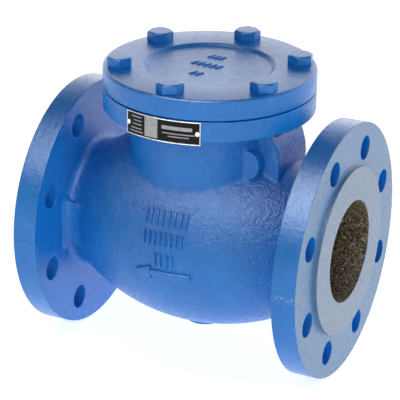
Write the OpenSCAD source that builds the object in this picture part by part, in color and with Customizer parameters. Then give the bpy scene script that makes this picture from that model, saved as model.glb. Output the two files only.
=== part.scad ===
// Flanged swing check valve in cast iron, with a round bolted cover.
// Origin: centre of the inlet raised face. +X leaves the inlet, +Z goes up through the cover. Millimetres.

/* [Pipe ends] */
// Distance between the two raised faces
face_to_face = 241; // [180:1:310]
// Nominal bore of the pipe
bore_d = 80; // [50:1:100]
// Outside diameter of a pipe flange
flange_d = 200; // [150:1:240]
// Thickness of a pipe flange with its raised face
flange_t = 22; // [14:1:30]
// Diameter of the raised sealing face
raised_d = 132; // [100:1:160]
// Height of the raised sealing face
raised_h = 3; // [2:0.5:4]
// Pitch circle of the pipe bolts
pipe_bolt_circle = 160; // [120:1:200]
// Diameter of a pipe bolt hole
pipe_hole_d = 19; // [14:1:24]
// Number of pipe bolt holes
pipe_holes = 8; // [4:4:12]

/* [Body] */
// Outside radius of the barrel at its middle
barrel_r = 78.5; // [70:0.5:90]
// Radius of the barrel's long arc
barrel_arc = 160; // [140:1:200]
// Outside radius of the hub behind a flange
hub_r = 49.5; // [44:0.5:58]
// Fillet between hub and flange
hub_fillet = 7; // [3:0.5:12]
// Casting wall
wall = 9; // [7:0.5:12]
// Outside diameter of the upright neck
neck_d = 122; // [110:1:140]
// Inside diameter of the upright neck
neck_bore_d = 104; // [96:1:110]
// Height of the neck flange's top face above the pipe axis
neck_top = 115; // [105:1:130]
// Thickness of the neck flange
neck_flange_t = 15.6; // [10:0.2:22]
// Fillet under the neck flange
neck_fillet = 4; // [2:0.5:8]

/* [Hinge housing] */
// Hinge pin ahead of the neck axis
pin_x = 47.3; // [40:0.1:52]
// Hinge pin above the pipe axis
pin_z = 71.2; // [66:0.1:78]
// Radius of the round hinge boss
boss_r = 12.3; // [11:0.1:16]
// Half width over the two boss ends
boss_half = 38.5; // [34:0.5:44]
// Half width of the hinge bay outside
bay_half = 26.7; // [24:0.1:32]
// Arc radius of the bay's rounded front
bay_arc = 54.4; // [45:0.1:65]
// Centre of that arc ahead of the neck axis
bay_x = 16.8; // [10:0.1:25]
// Centre of that arc above the pipe axis
bay_z = 64; // [55:1:72]
// Half width of the pocket inside the bay
pocket_half = 18.7; // [16:0.1:22]
// Front wall of the pocket ahead of the neck axis
pocket_x = 64; // [60:0.5:66]

/* [Cover] */
// Outside diameter of cover and neck flange
cover_d = 164; // [150:1:180]
// Cover thickness
cover_t = 15.7; // [10:0.1:22]
// Edge rounding of the cover
cover_round = 2; // [1:0.5:4]
// Diameter of the shallow recess in the cover
recess_d = 99; // [80:1:110]
// Depth of the shallow recess
recess_h = 2.5; // [1:0.5:4]
// Thickness of the flat ring gasket
gasket_t = 1; // [0.5:0.1:2]
// Pitch circle of the cover bolts
cover_bolt_circle = 138; // [126:1:150]
// Thread diameter of a cover bolt
bolt_d = 12; // [10:1:16]
// Width across the flats of a bolt head
bolt_flats = 18; // [16:1:24]
// Height of a bolt head
bolt_head_h = 7.5; // [6:0.5:10]
// Bolt length under the head
bolt_len = 30; // [24:1:40]

/* [Closing parts] */
// Sealing plane behind the inlet face, from the neck axis
seat_x = 49; // [46:0.5:54]
// Disc radius
disc_r = 47; // [44:0.5:48]
// Disc thickness
disc_t = 9; // [7:0.5:12]
// Hinge pin diameter
pin_d = 12; // [10:1:14]
// Disc stud diameter
stud_d = 14; // [12:1:16]

/* [Nameplate] */
// Width of the nameplate along the rim
plate_w = 61.7; // [40:0.1:80]
// Height of the nameplate
plate_h = 18; // [12:0.5:22]
// Thickness of the nameplate
plate_t = 0.6; // [0.4:0.1:1]
// Direction of the nameplate's middle, seen from above
plate_turn = -90.8; // [-120:0.1:-60]

/* [Hidden] */
e = 0.5;                                      // cutters run past a face by this
bore_r = bore_d / 2;
flange_r = flange_d / 2;
mid = -face_to_face / 2;                      // neck axis
half = face_to_face / 2;
half_back = half - flange_t;                  // back of a flange, from the neck axis
arc_in = barrel_r - barrel_arc;               // centre of the barrel arc, as a radius
neck_r = neck_d / 2;
neck_bore_r = neck_bore_d / 2;
neck_under = neck_top - neck_flange_t;
pocket_floor = pin_z - boss_r - 2;
pocket_top = neck_under - 5.4;
cover_r = cover_d / 2;
cover_z = neck_top + gasket_t;
cover_top = cover_z + cover_t;
spigot_h = 3;
bolt_r = bolt_d / 2;
head_r = bolt_flats / 2 / cos(30);
thread_gap = 0.05;                            // a thread is drawn as a plain shank in a plain hole
clearance_r = bolt_r + 0.75;
bolt_angles = [30, 90, 150, 210, 270, 330];
bolt_turns = [45, 25, 28, 55, 25, 33];        // where each head stopped when it was tightened

seat_face_t = 4;
wall_x = seat_x + seat_face_t;                // downstream side of the seat wall
wall_t = 13;
seat_in_r = bore_r - 0.5;
seat_face_r = disc_r + 1;
seat_neck_r = bore_r + 4;
seat_gap = 0.02;
flare_r = bore_r + 8;
straight = 24;                                // plain bore behind each raised face

ring_in = bore_r + 0.5;
ring_out = disc_r - 1.5;
ring_t = 4;
disc_front = seat_x - 2;
disc_back = disc_front - disc_t;
disc_hub_r = 17;
disc_hub_x = disc_back - 3.7;
stud_r = stud_d / 2;
stud_end = 1;
arm_gap = 0.3;                                // end float of the disc on its arm
eye_x1 = disc_hub_x - arm_gap;
eye_t = 14;
eye_x0 = eye_x1 - eye_t;
eye_r = 16;
washer_t = 3;
washer_x = eye_x0 - arm_gap - washer_t;
nut_t = 11;
nut_x = washer_x - nut_t;
nut_flats = 21;
split_x = nut_x + 2.2;
split_r = 1.6;

pin_r = pin_d / 2;
run_gap = 0.05;                               // running clearance of the pin in its bushes
bush_r = pin_r + 2.5;
pin_front = -33;
bush_front_y = -33.5;
bush_rear_y = 30;
pin_rear = 29.5;
knuckle_r = 11;
knuckle_half = pocket_half - 1.2;
web_half = 9;
stop_reach = pocket_x - pin_x - 0.4;
stop_h = 12;
stop_w = 10;
open_angle = 65;

plug_gasket_t = 1.5;
spot_r = 13.5;                                // machined face round the plug's bore
plug_collar_r = 11;
plug_collar_t = 3;
plug_flats = 17;
plug_hex_t = 9;

plate_z0 = neck_top - plate_h - 0.2;
plate_gap = 0.05;
plate_deg = plate_w / cover_r * 180 / PI;
rivet_inset = 2.3 / cover_r * 180 / PI;
rivet_turns = [plate_turn - plate_deg / 2 + rivet_inset, plate_turn + plate_deg / 2 - rivet_inset];
rivet_z = plate_z0 + plate_h / 2;
rivet_r = 1.2;
rivet_head_r = 1.9;
rivet_deep = 4;

foot_r = 17;                                  // solid boss under the barrel, left undrilled
foot_h = 3.5;
mark_h = 1.2;                                 // height of the cast marks
arrow_len = 46.5;
arrow_head = 13.5;
arrow_half = 6;
arrow_shaft = 5.2;
arrow_x = -24.2;                              // tip of the flow arrow, from the neck axis
arrow_z = -13.5;
mark_w = 7;
mark_l = 11.5;
mark_rows = [[4, 9.8, -18.7, 25.2], [4, 9, -18.6, 9.4], [2, 10, -8.6, -7.6]];   // count, pitch, first x, z

blue = [0.11, 0.33, 0.62];
bronze = [0.68, 0.50, 0.27];
steel = [0.62, 0.63, 0.64];

$fn = 96;

// ---- helpers -------------------------------------------------------------------------------------------------

// Turns an upright child so that it points along +X, starting at x from the neck axis
module along_x(x) {
    translate([mid + x, 0, 0])
        rotate([0, 90, 0])
            children();
}

// Turns an upright child so that it points along +Y on the hinge axis, starting at y
module on_pin(y) {
    translate([mid + pin_x, y, pin_z])
        rotate([-90, 0, 0])
            children();
}

// Puts a child on one cover bolt's axis
module at_bolt(i) {
    translate([mid, 0, 0])
        rotate(bolt_angles[i])
            translate([cover_bolt_circle / 2, 0, 0])
                children();
}

// Puts a child on one rivet's axis, pointing out of the rim
module at_rivet(i) {
    translate([mid, 0, rivet_z])
        rotate(rivet_turns[i])
            translate([cover_r, 0, 0])
                rotate([0, 90, 0])
                    children();
}

// Hexagon bar with the corners of its far end turned off
module hex_head(flats, h) {
    r = flats / 2 / cos(30);
    intersection() {
        cylinder(r = r, h = h, $fn = 6);
        cylinder(r1 = flats / 2 * 0.97 + h * 1.7, r2 = flats / 2 * 0.97, h = h, $fn = 48);
    }
}

module tube(r_out, r_in, h) {
    difference() {
        cylinder(r = r_out, h = h);
        translate([0, 0, -e])
            cylinder(r = r_in, h = h + 2 * e);
    }
}

// ---- body ----------------------------------------------------------------------------------------------------

// Half section of the barrel: radius across, position along the pipe upwards
module barrel_section(grow) {
    intersection() {
        translate([arc_in, 0])
            circle(r = barrel_arc + grow, $fn = 192);
        translate([0, -half_back])
            square([barrel_r + 20, 2 * half_back]);
    }
}

module hub_section() {
    translate([0, -half_back])
        square([hub_r, 2 * half_back]);
    for (side = [0, 1])
        mirror([0, side])
            translate([hub_r - e, half_back - hub_fillet])
                difference() {
                    square([hub_fillet + e, hub_fillet + e]);
                    translate([hub_fillet + e, 0])
                        circle(r = hub_fillet, $fn = 48);
                }
}

module pipe_flange() {
    difference() {
        union() {
            translate([0, 0, -flange_t])
                cylinder(r = flange_r, h = flange_t - raised_h);
            translate([0, 0, -flange_t])
                cylinder(r = raised_d / 2, h = flange_t);
        }
        for (i = [0 : pipe_holes - 1])
            rotate((i + 0.5) * 360 / pipe_holes)
                translate([pipe_bolt_circle / 2, 0, -flange_t - e])
                    cylinder(r = pipe_hole_d / 2, h = flange_t + 2 * e, $fn = 32);
    }
}

module neck() {
    translate([mid, 0, 0]) {
        cylinder(r = neck_r, h = neck_under + e);
        translate([0, 0, neck_under])
            cylinder(r = cover_r, h = neck_flange_t);
        rotate_extrude()
            translate([neck_r - e, neck_under - neck_fillet])
                difference() {
                    square([neck_fillet + e, neck_fillet + e]);
                    translate([neck_fillet + e, 0])
                        circle(r = neck_fillet, $fn = 32);
                }
    }
}

// The bulge that makes room for the hinge, and the round bosses that hold its pin
module hinge_housing() {
    intersection() {
        translate([mid + bay_x, -bay_half, bay_z])
            rotate([-90, 0, 0])
                cylinder(r = bay_arc, h = 2 * bay_half);
        translate([mid + 20, -bay_half - e, 30])
            cube([80, 2 * bay_half + 2 * e, neck_under + e - 30]);
    }
    on_pin(-boss_half)
        cylinder(r = boss_r, h = 2 * boss_half, $fn = 48);
}

// Flow arrow and blank raised marks, lifted off the barrel's front
module cast_marks() {
    intersection() {
        along_x(0)
            rotate_extrude()
                barrel_section(mark_h);
        translate([mid, -40, 0])
            rotate([90, 0, 0])
                linear_extrude(60)
                    mark_outlines();
    }
}

module mark_outlines() {
    translate([arrow_x, arrow_z])
        rotate(1) {
            polygon([[0, 0], [arrow_head, arrow_half], [arrow_head, -arrow_half]]);
            translate([arrow_head - e, -arrow_shaft / 2])
                square([arrow_len - arrow_head, arrow_shaft]);
        }
    for (row = mark_rows)
        for (i = [0 : row[0] - 1])
            translate([row[2] + i * row[1], row[3]])
                square([mark_w, mark_l]);
}

module outside() {
    along_x(0)
        rotate_extrude() {
            barrel_section(0);
            hub_section();
        }
    along_x(half)
        pipe_flange();
    along_x(-half)
        mirror([0, 0, 1])
            pipe_flange();
    neck();
    hinge_housing();
    translate([mid, 0, -barrel_r - foot_h])
        cylinder(r = foot_r, h = 20, $fn = 48);
    translate([mid - half_back - e, -53, -17])
        cube([24, 30, 35]);
    cast_marks();
}

module inside() {
    difference() {
        union() {
            along_x(0)
                rotate_extrude()
                    intersection() {
                        translate([arc_in, 0])
                            circle(r = barrel_arc - wall, $fn = 192);
                        translate([0, -half_back])
                            square([barrel_r, half_back + wall_x]);
                    }
            along_x(-half - e)
                cylinder(r = bore_r, h = half);
            translate([mid, 0, 0])
                cylinder(r = neck_bore_r, h = neck_top + e);
            translate([mid + 20, -pocket_half, pocket_floor])
                cube([pocket_x - 20, 2 * pocket_half, pocket_top - pocket_floor]);
        }
        for (side = [0, 1])
            mirror([0, side, 0])
                on_pin(pocket_half)
                    cylinder(r = boss_r, h = boss_half, $fn = 48);
    }
    along_x(half - straight)
        cylinder(r = bore_r, h = straight + e);
    along_x(wall_x + wall_t)
        cylinder(r1 = flare_r, r2 = bore_r, h = half - straight - wall_x - wall_t + 0.001);
    along_x(wall_x - e)
        cylinder(r = seat_neck_r + thread_gap, h = wall_t + 2 * e);
}

module body() {
    color(blue)
        difference() {
            outside();
            inside();
            on_pin(bush_front_y)
                cylinder(r = bush_r + thread_gap, h = boss_half - bush_front_y + e, $fn = 48);
            on_pin(boss_half)
                cylinder(r = spot_r, h = 20, $fn = 48);
            for (i = [0 : len(bolt_angles) - 1])
                at_bolt(i)
                    translate([0, 0, neck_under - e])
                        cylinder(r = bolt_r + thread_gap, h = neck_flange_t + 2 * e, $fn = 32);
            for (i = [0, 1])
                at_rivet(i)
                    translate([0, 0, -rivet_deep])
                        cylinder(r = rivet_r + thread_gap, h = rivet_deep + e, $fn = 16);
        }
}

// ---- cover, its gasket and bolts -----------------------------------------------------------------------------

module cover() {
    color(blue)
        translate([mid, 0, cover_z])
            difference() {
                union() {
                    rotate_extrude() {
                        square([cover_r, cover_t - cover_round]);
                        square([cover_r - cover_round, cover_t]);
                        translate([cover_r - cover_round, cover_t - cover_round])
                            circle(r = cover_round, $fn = 32);
                    }
                    translate([0, 0, -spigot_h - gasket_t])
                        cylinder(r = neck_bore_r - 0.5, h = spigot_h + gasket_t + e);
                }
                translate([0, 0, cover_t - recess_h])
                    cylinder(r1 = recess_d / 2 - 1.2, r2 = recess_d / 2 + 0.3, h = recess_h + 0.01);
                translate([0, 0, -spigot_h - gasket_t - e])
                    cylinder(r1 = neck_bore_r - 8, r2 = neck_bore_r - 12, h = 8);
                for (a = bolt_angles)
                    rotate(a)
                        translate([cover_bolt_circle / 2, 0, -e])
                            cylinder(r = clearance_r, h = cover_t + 2 * e, $fn = 32);
            }
}

module cover_gasket() {
    color([0.16, 0.15, 0.14])
        translate([mid, 0, neck_top])
            tube(cover_bolt_circle / 2 - bolt_r - 0.3, neck_bore_r + 1, gasket_t);
}

module cover_bolt(i) {
    color(blue)
        at_bolt(i) {
            translate([0, 0, cover_top])
                rotate(bolt_turns[i] - bolt_angles[i])
                    hex_head(bolt_flats, bolt_head_h);
            translate([0, 0, cover_top - bolt_len])
                cylinder(r = bolt_r, h = bolt_len + e, $fn = 32);
        }
}

// ---- nameplate -----------------------------------------------------------------------------------------------

module nameplate() {
    color([0.08, 0.08, 0.09])
        difference() {
            translate([mid, 0, plate_z0])
                rotate(plate_turn - plate_deg / 2)
                    rotate_extrude(angle = plate_deg, $fn = 192)
                        translate([cover_r + plate_gap, 0])
                            square([plate_t, plate_h]);
            for (i = [0, 1])
                at_rivet(i)
                    translate([0, 0, -e])
                        cylinder(r = rivet_r + 0.1, h = plate_t + 3 * e, $fn = 16);
        }
}

module nameplate_rivet(i) {
    color(steel)
        at_rivet(i) {
            translate([0, 0, -rivet_deep])
                cylinder(r = rivet_r, h = rivet_deep + plate_t + 0.3, $fn = 16);
            translate([0, 0, plate_gap + plate_t])
                intersection() {
                    cylinder(r = rivet_head_r, h = 1, $fn = 16);
                    translate([0, 0, -1.6])
                        sphere(r = 2.5, $fn = 32);
                }
        }
}

// ---- seat, disc and hinge ------------------------------------------------------------------------------------

module seat_ring() {
    color(bronze)
        difference() {
            union() {
                along_x(seat_x)
                    cylinder(r = seat_face_r, h = seat_face_t);
                along_x(seat_x)
                    cylinder(r = seat_neck_r, h = seat_face_t + wall_t);
            }
            along_x(seat_x - e)
                cylinder(r = seat_in_r, h = seat_face_t + wall_t + 2 * e);
        }
}

module disc() {
    color([0.36, 0.36, 0.37])
        difference() {
            union() {
                along_x(disc_back)
                    cylinder(r1 = disc_r - 4, r2 = disc_r, h = disc_t * 0.4);
                along_x(disc_back + disc_t * 0.4)
                    cylinder(r = disc_r, h = disc_t * 0.6);
                along_x(disc_hub_x)
                    cylinder(r1 = disc_hub_r, r2 = disc_hub_r + 6, h = disc_back - disc_hub_x + 0.01);
                along_x(stud_end)
                    cylinder(r = stud_r, h = disc_hub_x - stud_end + e, $fn = 48);
            }
            along_x(seat_x - ring_t)
                tube(ring_out, ring_in, ring_t);
            along_x(disc_front - 2)
                cylinder(r = ring_in - 5, h = 3);
            translate([mid + split_x, 0, -stud_r - e])
                cylinder(r = split_r + 0.1, h = 2 * stud_r + 2 * e, $fn = 16);
        }
}

module disc_face_ring() {
    color(bronze)
        along_x(seat_x - ring_t)
            tube(ring_out - thread_gap, ring_in + thread_gap, ring_t - seat_gap);
}

module hinge_arm() {
    color([0.40, 0.40, 0.41])
        difference() {
            union() {
                on_pin(-knuckle_half)
                    cylinder(r = knuckle_r, h = 2 * knuckle_half, $fn = 48);
                translate([mid, web_half, 0])
                    rotate([90, 0, 0])
                        linear_extrude(2 * web_half)
                            arm_outline();
                translate([mid, stop_w / 2, 0])
                    rotate([90, 0, 0])
                        linear_extrude(stop_w)
                            stop_outline();
                along_x(eye_x0)
                    cylinder(r = eye_r, h = eye_t, $fn = 64);
            }
            on_pin(-knuckle_half - e)
                cylinder(r = pin_r + thread_gap, h = 2 * knuckle_half + 2 * e, $fn = 48);
            along_x(eye_x0 - e)
                cylinder(r = stud_r + 0.25, h = eye_t + 2 * e, $fn = 48);
        }
}

// Side view of the web between knuckle and eye
module arm_outline() {
    polygon([
        [pin_x - 9.5, pin_z + 4],
        [pin_x + 4, pin_z - 8],
        [disc_back - 2, disc_r + 3],
        [eye_x1, disc_r - 9],
        [eye_x1, 0],
        [eye_x0, 0],
        [eye_x0, disc_r - 7],
        [eye_x0 + 4, disc_r + 5],
    ]);
}

// Lug whose flat end meets the pocket's front wall when the disc is fully open. It is drawn open and turned shut.
module stop_outline() {
    translate([pin_x, pin_z])
        rotate(open_angle)
            polygon([[0, 1], [stop_reach, 1], [stop_reach, stop_h], [3, stop_h]]);
}

module hinge_pin() {
    color(steel)
        on_pin(pin_front)
            cylinder(r = pin_r, h = pin_rear - pin_front, $fn = 48);
}

module bush_front() {
    color(bronze)
        on_pin(bush_front_y)
            tube(bush_r, pin_r + run_gap, -pocket_half - bush_front_y);
}

module bush_rear() {
    color(bronze)
        on_pin(pocket_half)
            tube(bush_r, pin_r + run_gap, bush_rear_y - pocket_half);
}

module disc_washer() {
    color(steel)
        along_x(washer_x)
            tube(14, stud_r + 0.2, washer_t);
}

module disc_nut() {
    color(bronze)
        difference() {
            along_x(nut_x + nut_t)
                mirror([0, 0, 1])
                    hex_head(nut_flats, nut_t);
            along_x(nut_x - e)
                cylinder(r = stud_r + thread_gap, h = nut_t + 2 * e, $fn = 48);
            translate([mid + split_x - 2, -2, -20])
                mirror([1, 0, 0])
                    cube([10, 4, 40]);
            translate([mid + nut_x - e, -2, -20])
                cube([split_x - nut_x + 2 + e, 4, 40]);
        }
}

// Split pin: a round pin across the stud with an eye at the top and two bent legs at the bottom
module disc_split_pin() {
    reach = nut_flats / 2 / cos(30) + 1.2;
    color(steel) {
        translate([mid + split_x, 0, -reach])
            cylinder(r = split_r, h = 2 * reach, $fn = 16);
        translate([mid + split_x, 0, reach + 2.6])
            rotate([90, 0, 0])
                rotate_extrude($fn = 32)
                    translate([2.2, 0])
                        circle(r = split_r * 0.7, $fn = 16);
        for (side = [-1, 1])
            translate([mid + split_x, 0, -reach])
                rotate([0, side * 105, 0])
                    cylinder(r = split_r * 0.7, h = 6, $fn = 16);
    }
}

// ---- plug that closes the pin bore ---------------------------------------------------------------------------

module pin_plug() {
    color(blue) {
        on_pin(bush_rear_y + e)
            cylinder(r = bush_r, h = boss_half - bush_rear_y + plug_gasket_t, $fn = 48);
        on_pin(boss_half + plug_gasket_t)
            cylinder(r = plug_collar_r, h = plug_collar_t, $fn = 48);
        on_pin(boss_half + plug_gasket_t + plug_collar_t)
            hex_head(plug_flats, plug_hex_t);
    }
}

module pin_plug_gasket() {
    color([0.72, 0.42, 0.24])
        on_pin(boss_half)
            tube(plug_collar_r, bush_r + 0.1, plug_gasket_t);
}

// ---- nodes ---------------------------------------------------------------------------------------------------

body();
cover();
cover_gasket();
cover_bolt(0);  // cover_bolt_1
cover_bolt(1);  // cover_bolt_2
cover_bolt(2);  // cover_bolt_3
cover_bolt(3);  // cover_bolt_4
cover_bolt(4);  // cover_bolt_5
cover_bolt(5);  // cover_bolt_6
nameplate();
nameplate_rivet(0);  // nameplate_rivet_1
nameplate_rivet(1);  // nameplate_rivet_2
seat_ring();
bush_front();
bush_rear();
pin_plug();
pin_plug_gasket();
hinge_arm();
hinge_pin();
disc();
disc_face_ring();
disc_washer();
disc_nut();
disc_split_pin();
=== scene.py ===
"""Looks of the flanged swing check valve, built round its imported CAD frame.

The cast body is meshed from a field of distances, which gives it real casting fillets. Sizes are in
millimetres from the neck axis until a mesh is written, and in metres in the model's own frame after that.
"""
import math

import bpy
import numpy as np
from mathutils import Matrix, Vector


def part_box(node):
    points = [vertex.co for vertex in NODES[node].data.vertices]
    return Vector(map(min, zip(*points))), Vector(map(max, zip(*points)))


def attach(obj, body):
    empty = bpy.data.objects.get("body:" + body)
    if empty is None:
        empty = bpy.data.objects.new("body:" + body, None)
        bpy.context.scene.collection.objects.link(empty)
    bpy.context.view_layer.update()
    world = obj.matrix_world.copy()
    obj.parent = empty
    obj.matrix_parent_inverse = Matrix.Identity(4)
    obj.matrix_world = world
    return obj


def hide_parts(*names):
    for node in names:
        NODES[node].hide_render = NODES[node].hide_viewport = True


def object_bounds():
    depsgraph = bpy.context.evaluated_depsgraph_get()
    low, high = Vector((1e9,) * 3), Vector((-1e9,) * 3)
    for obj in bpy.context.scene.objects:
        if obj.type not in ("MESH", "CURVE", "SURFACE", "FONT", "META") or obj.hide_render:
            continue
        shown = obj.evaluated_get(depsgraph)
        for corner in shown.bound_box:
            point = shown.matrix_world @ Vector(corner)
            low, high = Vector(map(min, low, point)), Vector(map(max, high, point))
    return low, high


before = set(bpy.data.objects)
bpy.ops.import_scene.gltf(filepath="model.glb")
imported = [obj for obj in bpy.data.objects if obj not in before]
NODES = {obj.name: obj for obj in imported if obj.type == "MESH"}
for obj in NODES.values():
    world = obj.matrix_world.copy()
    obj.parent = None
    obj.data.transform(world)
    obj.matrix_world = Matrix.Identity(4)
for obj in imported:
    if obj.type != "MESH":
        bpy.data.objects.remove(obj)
CAD_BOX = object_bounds()
MM = 0.001


def box_mm(node):
    """A CAD node's box in millimetres, as two arrays."""
    lo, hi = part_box(node)
    return np.array(lo) / MM, np.array(hi) / MM


BODY_LO, BODY_HI = box_mm("body")
MID = (BODY_LO[0] + BODY_HI[0]) / 2
HALF = (BODY_HI[0] - BODY_LO[0]) / 2

# ---- sizes that the CAD part has too -------------------------------------------------------------

BORE_R = 40.0
FLANGE_R = 100.0
FLANGE_T = 22.0
RAISED_R = 66.0
RAISED_H = 3.0
BOLT_CIRCLE_R = 80.0
PIPE_HOLE_R = 9.5
HALF_BACK = HALF - FLANGE_T
BARREL_R = 78.5
BARREL_ARC = 160.0
HUB_R = 49.5
HUB_END = HALF - 6
WALL = 9.0
NECK_R = 61.0
NECK_BORE_R = 52.0
NECK_TOP = 115.0
NECK_JOIN = NECK_TOP - 6
NECK_UNDER = 99.4
COVER_R = 82.0
COVER_Z = 116.0
COVER_TOP = 131.7
COVER_BOLT_R = 69.0
COVER_BOLT_ANGLES = (30, 90, 150, 210, 270, 330)
COVER_BOLT_TURNS = (45, 25, 28, 55, 25, 33)
PIN_X = 47.3
PIN_Z = 71.2
BOSS_R = 12.3
BOSS_HALF = 38.5
FOOT_R = 17.0
FOOT_H = 3.5
PAD_MID_Z = 0.5
PAD_HALF = 17.5
PAD_FRONT = 53.0
PAD_END = 75.0
BAY_HALF = 26.7
BAY_ARC = 54.4
BAY_X = 16.8
BAY_Z = 64.0
BAY_BACK = 20.0
POCKET_HALF = 18.7
POCKET_X = 64.0
POCKET_FLOOR = 56.9
POCKET_TOP = 94.0
PIN_BORE_R = 8.5
PIN_BORE_FRONT = -33.5
SPOT_FACE_R = 13.5
WALL_X = 53.0
SEAT_BORE_R = 44.0
SEAT_END = WALL_X + 13
STRAIGHT = 24.0
FLARE_STEP = 4.0
COVER_BOLT_HOLE_R = 6.0

# radii of the casting's fillets, and of its rounded edges

HUB_FILLET = 6.0
FLANGE_FILLET = 7.0
COLLAR_FILLET = 4.0
BAY_FILLET = 2.5
FOOT_FILLET = 2.0
BOSS_FILLET = 1.6
NECK_FILLET = 1.6
PAD_FILLET = 1.4
CORE_FILLET = 4.0
WALL_EDGE = 2.0
BAY_EDGE = 2.2
FOOT_EDGE = 1.2
BOSS_EDGE = 1.0
PAD_EDGE = 0.9


# ---- meshing a field of distances ----------------------------------------------------------------

def join(a, b, r):
    """Union of two fields with a concave fillet of radius r."""
    u = np.maximum(r - a, 0)
    v = np.maximum(r - b, 0)
    return np.maximum(r, np.minimum(a, b)) - np.sqrt(u * u + v * v)


def meet(a, b, r):
    """Intersection of two fields with its edge rounded to radius r."""
    u = np.maximum(r + a, 0)
    v = np.maximum(r + b, 0)
    return np.minimum(-r, np.maximum(a, b)) + np.sqrt(u * u + v * v)


def body_outside(x, y, z):
    """Distance field of the casting's outside."""
    along = np.abs(x)
    r_pipe = np.hypot(y, z)
    r_neck = np.hypot(x, y)
    flange = np.maximum(np.maximum(along - (HALF - RAISED_H), HALF_BACK - along), r_pipe - FLANGE_R)
    raised = np.maximum(np.maximum(along - HALF, HALF_BACK - along), r_pipe - RAISED_R)
    barrel = np.hypot(x, r_pipe - (BARREL_R - BARREL_ARC)) - BARREL_ARC
    barrel = np.maximum(barrel, along - HUB_END)
    hub = np.maximum(r_pipe - HUB_R, along - HUB_END)
    neck = np.maximum(np.maximum(r_neck - NECK_R, z - NECK_JOIN), -z)
    collar = np.maximum(np.maximum(r_neck - COVER_R, z - NECK_TOP), NECK_UNDER - z)
    bay = np.hypot(x - BAY_X, z - BAY_Z) - BAY_ARC
    bay = meet(bay, np.abs(y) - BAY_HALF, BAY_EDGE)
    bay = np.maximum(np.maximum(bay, BAY_BACK - x), z - NECK_JOIN)
    boss = meet(np.hypot(x - PIN_X, z - PIN_Z) - BOSS_R, np.abs(y) - BOSS_HALF, BOSS_EDGE)
    foot = meet(np.hypot(x, y) - FOOT_R, -z - (BARREL_R + FOOT_H), FOOT_EDGE)
    foot = np.maximum(foot, z + 50)
    pad = meet(np.abs(z - PAD_MID_Z) - PAD_HALF, -y - PAD_FRONT, PAD_EDGE)
    pad = meet(pad, x + PAD_END, PAD_EDGE)
    pad = np.maximum(pad, np.maximum(np.maximum(y + 20, x), -HALF_BACK - 2 - x))

    trunk = join(barrel, hub, HUB_FILLET)
    trunk = join(trunk, pad, PAD_FILLET)
    trunk = join(trunk, foot, FOOT_FILLET)
    trunk = join(trunk, np.minimum(flange, raised), FLANGE_FILLET)
    top = join(neck, bay, BAY_FILLET)
    top = join(top, boss, BOSS_FILLET)
    top = join(top, collar, COLLAR_FILLET)
    return join(trunk, top, NECK_FILLET)


def body_inside(x, y, z):
    """Distance field of everything that is cored, bored or drilled out of the casting."""
    r_pipe = np.hypot(y, z)
    r_neck = np.hypot(x, y)
    chamber = np.hypot(x, r_pipe - (BARREL_R - BARREL_ARC)) - (BARREL_ARC - WALL)
    chamber = meet(chamber, x - WALL_X, WALL_EDGE)
    outlet = np.maximum(r_pipe - BORE_R, x)
    neck = np.maximum(r_neck - NECK_BORE_R, -z)
    pocket = np.maximum(np.abs(y) - POCKET_HALF, np.maximum(x - POCKET_X, BAY_BACK - x))
    pocket = np.maximum(pocket, np.maximum(POCKET_FLOOR - z, z - POCKET_TOP))
    hollow = join(join(chamber, outlet, CORE_FILLET), join(neck, pocket, WALL_EDGE), CORE_FILLET)
    lugs = np.maximum(np.hypot(x - PIN_X, z - PIN_Z) - BOSS_R, POCKET_HALF - np.abs(y))
    hollow = np.maximum(hollow, -lugs)
    bore = np.maximum(r_pipe - BORE_R, HALF - STRAIGHT - x)
    slope = (SEAT_BORE_R + FLARE_STEP - BORE_R) / (HALF - STRAIGHT - SEAT_END)
    flare = r_pipe - BORE_R - (HALF - STRAIGHT - x) * slope
    flare = np.maximum(flare, np.maximum(SEAT_END - x, x - HALF + STRAIGHT))
    seat = np.maximum(r_pipe - SEAT_BORE_R, np.maximum(WALL_X - 2 - x, x - HALF))
    seat = np.maximum(seat, x - WALL_X - 15)
    hollow = np.minimum(hollow, np.minimum(np.minimum(bore, flare), seat))
    pin = np.maximum(np.hypot(x - PIN_X, z - PIN_Z) - PIN_BORE_R, PIN_BORE_FRONT - y)
    spot = np.maximum(np.hypot(x - PIN_X, z - PIN_Z) - SPOT_FACE_R, BOSS_HALF - y)
    hollow = np.minimum(hollow, np.minimum(pin, spot))
    return np.minimum(hollow, drilled(x, y, z))


def drilled(x, y, z):
    """Distance field of the bolt holes: each bolt circle is folded on to one hole."""
    turn = 2 * np.pi / 8
    angle = np.arctan2(z, y)
    angle = angle - turn / 2 - np.round((angle - turn / 2) / turn) * turn
    r_pipe = np.hypot(y, z)
    pipe = np.hypot(r_pipe * np.cos(angle) - BOLT_CIRCLE_R, r_pipe * np.sin(angle)) - PIPE_HOLE_R
    pipe = np.maximum(pipe, HALF_BACK - 6 - np.abs(x))
    turn = 2 * np.pi / 6
    angle = np.arctan2(y, x)
    angle = angle - turn / 2 - np.round((angle - turn / 2) / turn) * turn
    r_neck = np.hypot(x, y)
    cover = np.hypot(r_neck * np.cos(angle) - COVER_BOLT_R, r_neck * np.sin(angle)) - COVER_BOLT_HOLE_R
    cover = np.maximum(cover, NECK_UNDER - 3 - z)
    return np.minimum(pipe, cover)


def body_field(x, y, z):
    """Distance field of the finished casting."""
    return np.maximum(body_outside(x, y, z), -body_inside(x, y, z))


def gradient(field, p, step=0.02):
    """Unit normals of a field at the points p."""
    g = np.empty_like(p)
    for axis in range(3):
        shift = np.zeros(3)
        shift[axis] = step
        g[:, axis] = field(*(p + shift).T) - field(*(p - shift).T)
    return g / np.maximum(np.linalg.norm(g, axis=1, keepdims=True), 1e-9)


BISECTIONS = 7
PULL_TO_CENTRE = 0.03
CELL_SLACK = 0.02


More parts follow.
